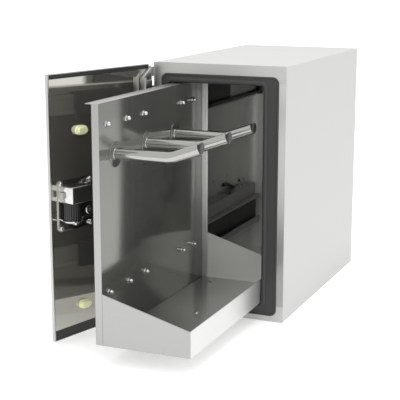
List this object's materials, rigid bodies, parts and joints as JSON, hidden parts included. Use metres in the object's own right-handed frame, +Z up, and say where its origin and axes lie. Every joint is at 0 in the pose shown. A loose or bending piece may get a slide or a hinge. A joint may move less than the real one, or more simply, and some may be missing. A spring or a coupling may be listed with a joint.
{
  "type": "trash compactor",
  "caption": "Free-standing pull-out trash compactor: thick-walled steel cabinet, side-hung mirror-backed door with a turn latch, bag carriage on telescopic slides, screw-driven press plate.",
  "frame": {"origin": "centre of the cabinet's flat underside, under the 300 mm by 541 mm body", "axes": "+Z up; the door and the carriage face -Y; +X is the right side seen from the front, and the door hangs on the left side"},
  "size_m": [0.3912, 0.9183, 0.548],
  "materials": {
    "painted_sheet": "satin powder coat, pale grey",
    "satin_steel": "satin stainless",
    "chamber_steel": "semi-bright stainless",
    "polished_steel": "mirror-polished stainless",
    "chrome": "polished",
    "machined_steel": "machined and zinc plated",
    "black_steel": "black coated",
    "seal_rubber": "matt",
    "black_plastic": "fine texture",
    "bumper_plastic": "pale yellow-green, soft gloss",
    "bronze": "turned",
    "foam": "rigid foam, cut"
  },
  "bodies": {
    "cabinet": {"outer_shell": "painted_sheet", "base_plate": "machined_steel", "rear_panel": "painted_sheet", "front_frame_top": "satin_steel", "front_frame_bottom": "satin_steel", "front_frame_left": "satin_steel", "front_frame_right": "satin_steel", "chamber_liner": "chamber_steel", "insulation_jacket": "foam", "door_seal": "seal_rubber", "slide_bracket_upper": "machined_steel", "slide_bracket_lower": "machined_steel", "slide_outer_upper": "black_steel", "slide_outer_lower": "black_steel", "end_plate_front": "machined_steel", "end_plate_rear": "machined_steel", "guide_rod_lower": "chrome", "guide_rod_upper": "chrome", "drive_belt": "seal_rubber", "gear_motor": "black_steel", "power_inlet": "black_plastic", "control_box": "black_plastic", "hinge_leaf_cabinet_lower": "satin_steel", "hinge_leaf_cabinet_upper": "satin_steel"},
    "door": {"door_pan": "satin_steel", "door_inner_panel": "polished_steel", "door_strip_lower": "seal_rubber", "door_strip_upper": "seal_rubber", "door_bumper_upper": "bumper_plastic", "door_bumper_lower": "bumper_plastic", "latch_bracket": "chrome", "hinge_leaf_door_lower": "satin_steel", "hinge_leaf_door_upper": "satin_steel"},
    "latch_handle": {"latch_handle": "chrome"},
    "latch_bolt": {"latch_bolt": "machined_steel"},
    "latch_roller": {"latch_roller": "seal_rubber"},
    "start_button": {"start_button": "black_plastic"},
    "slide_middles": {"slide_middle_upper": "black_steel", "slide_middle_lower": "black_steel"},
    "carriage": {"carriage_side_plate": "satin_steel", "tray_floor": "satin_steel", "tray_front_panel": "satin_steel", "tray_rear_panel": "satin_steel", "bag_hook_1": "chrome", "bag_hook_2": "chrome", "bag_hook_3": "chrome", "hook_cap_1": "seal_rubber", "hook_cap_2": "seal_rubber", "hook_cap_3": "seal_rubber", "slide_inner_upper": "machined_steel", "slide_inner_lower": "machined_steel", "slide_screws_upper": "chrome", "slide_screws_lower": "chrome"},
    "press": {"press_plate": "polished_steel", "press_bracket": "machined_steel", "screw_nut": "bronze", "guide_bush_lower": "bronze", "guide_bush_upper": "bronze"},
    "lead_screw": {"lead_screw": "machined_steel"},
    "motor_pulley": {"motor_pulley": "machined_steel"}
  },
  "joints": [
    {"name": "door_hinge", "type": "hinge", "parent": "cabinet", "child": "door", "pos_m": [-0.156, -0.281, 0.27], "axis": [0, 0, 1], "range_deg": [-15, 15]},
    {"name": "latch_turn", "type": "hinge", "parent": "door", "child": "latch_handle", "pos_m": [-0.21165, -0.48867, 0.266], "axis": [0.9659, -0.2588, 0], "range_deg": [0, 90]},
    {"name": "latch_bolt_slide", "type": "slide", "parent": "door", "child": "latch_bolt", "axis": [0.2588, 0.9659, 0], "range_m": [0, 0.01]},
    {"name": "latch_roller_spin", "type": "hinge", "parent": "door", "child": "latch_roller", "pos_m": [-0.20079, -0.54438, 0.272], "axis": [0, 0, 1], "continuous": true},
    {"name": "start_button_press", "type": "slide", "parent": "door", "child": "start_button", "axis": [0.9659, -0.2588, 0], "range_m": [0, 0.003], "stiffness_N_per_m": 400},
    {"name": "carriage_slide", "type": "slide", "parent": "cabinet", "child": "carriage", "axis": [0, 1, 0], "range_m": [0, 0.378]},
    {"name": "slide_middles_travel", "type": "slide", "parent": "cabinet", "child": "slide_middles", "axis": [0, 1, 0], "range_m": [0, 0.189]},
    {"name": "press_travel", "type": "slide", "parent": "cabinet", "child": "press", "axis": [0, -1, 0], "range_m": [0, 0.3]},
    {"name": "lead_screw_turn", "type": "hinge", "parent": "cabinet", "child": "lead_screw", "pos_m": [0.119, 0, 0.27], "axis": [0, 1, 0], "range_deg": [0, 5401]},
    {"name": "motor_turn", "type": "hinge", "parent": "cabinet", "child": "motor_pulley", "pos_m": [0.119, 0, 0.15], "axis": [0, 1, 0], "range_deg": [0, 5401]}
  ],
  "couplings": [
    {"joint": "latch_bolt_slide", "follows": "latch_turn", "m_per_rad": 0.006365},
    {"joint": "slide_middles_travel", "follows": "carriage_slide", "ratio": 0.5},
    {"joint": "lead_screw_turn", "follows": "press_travel", "rad_per_m": 314.16},
    {"joint": "motor_turn", "follows": "press_travel", "rad_per_m": 314.16}
  ]
}
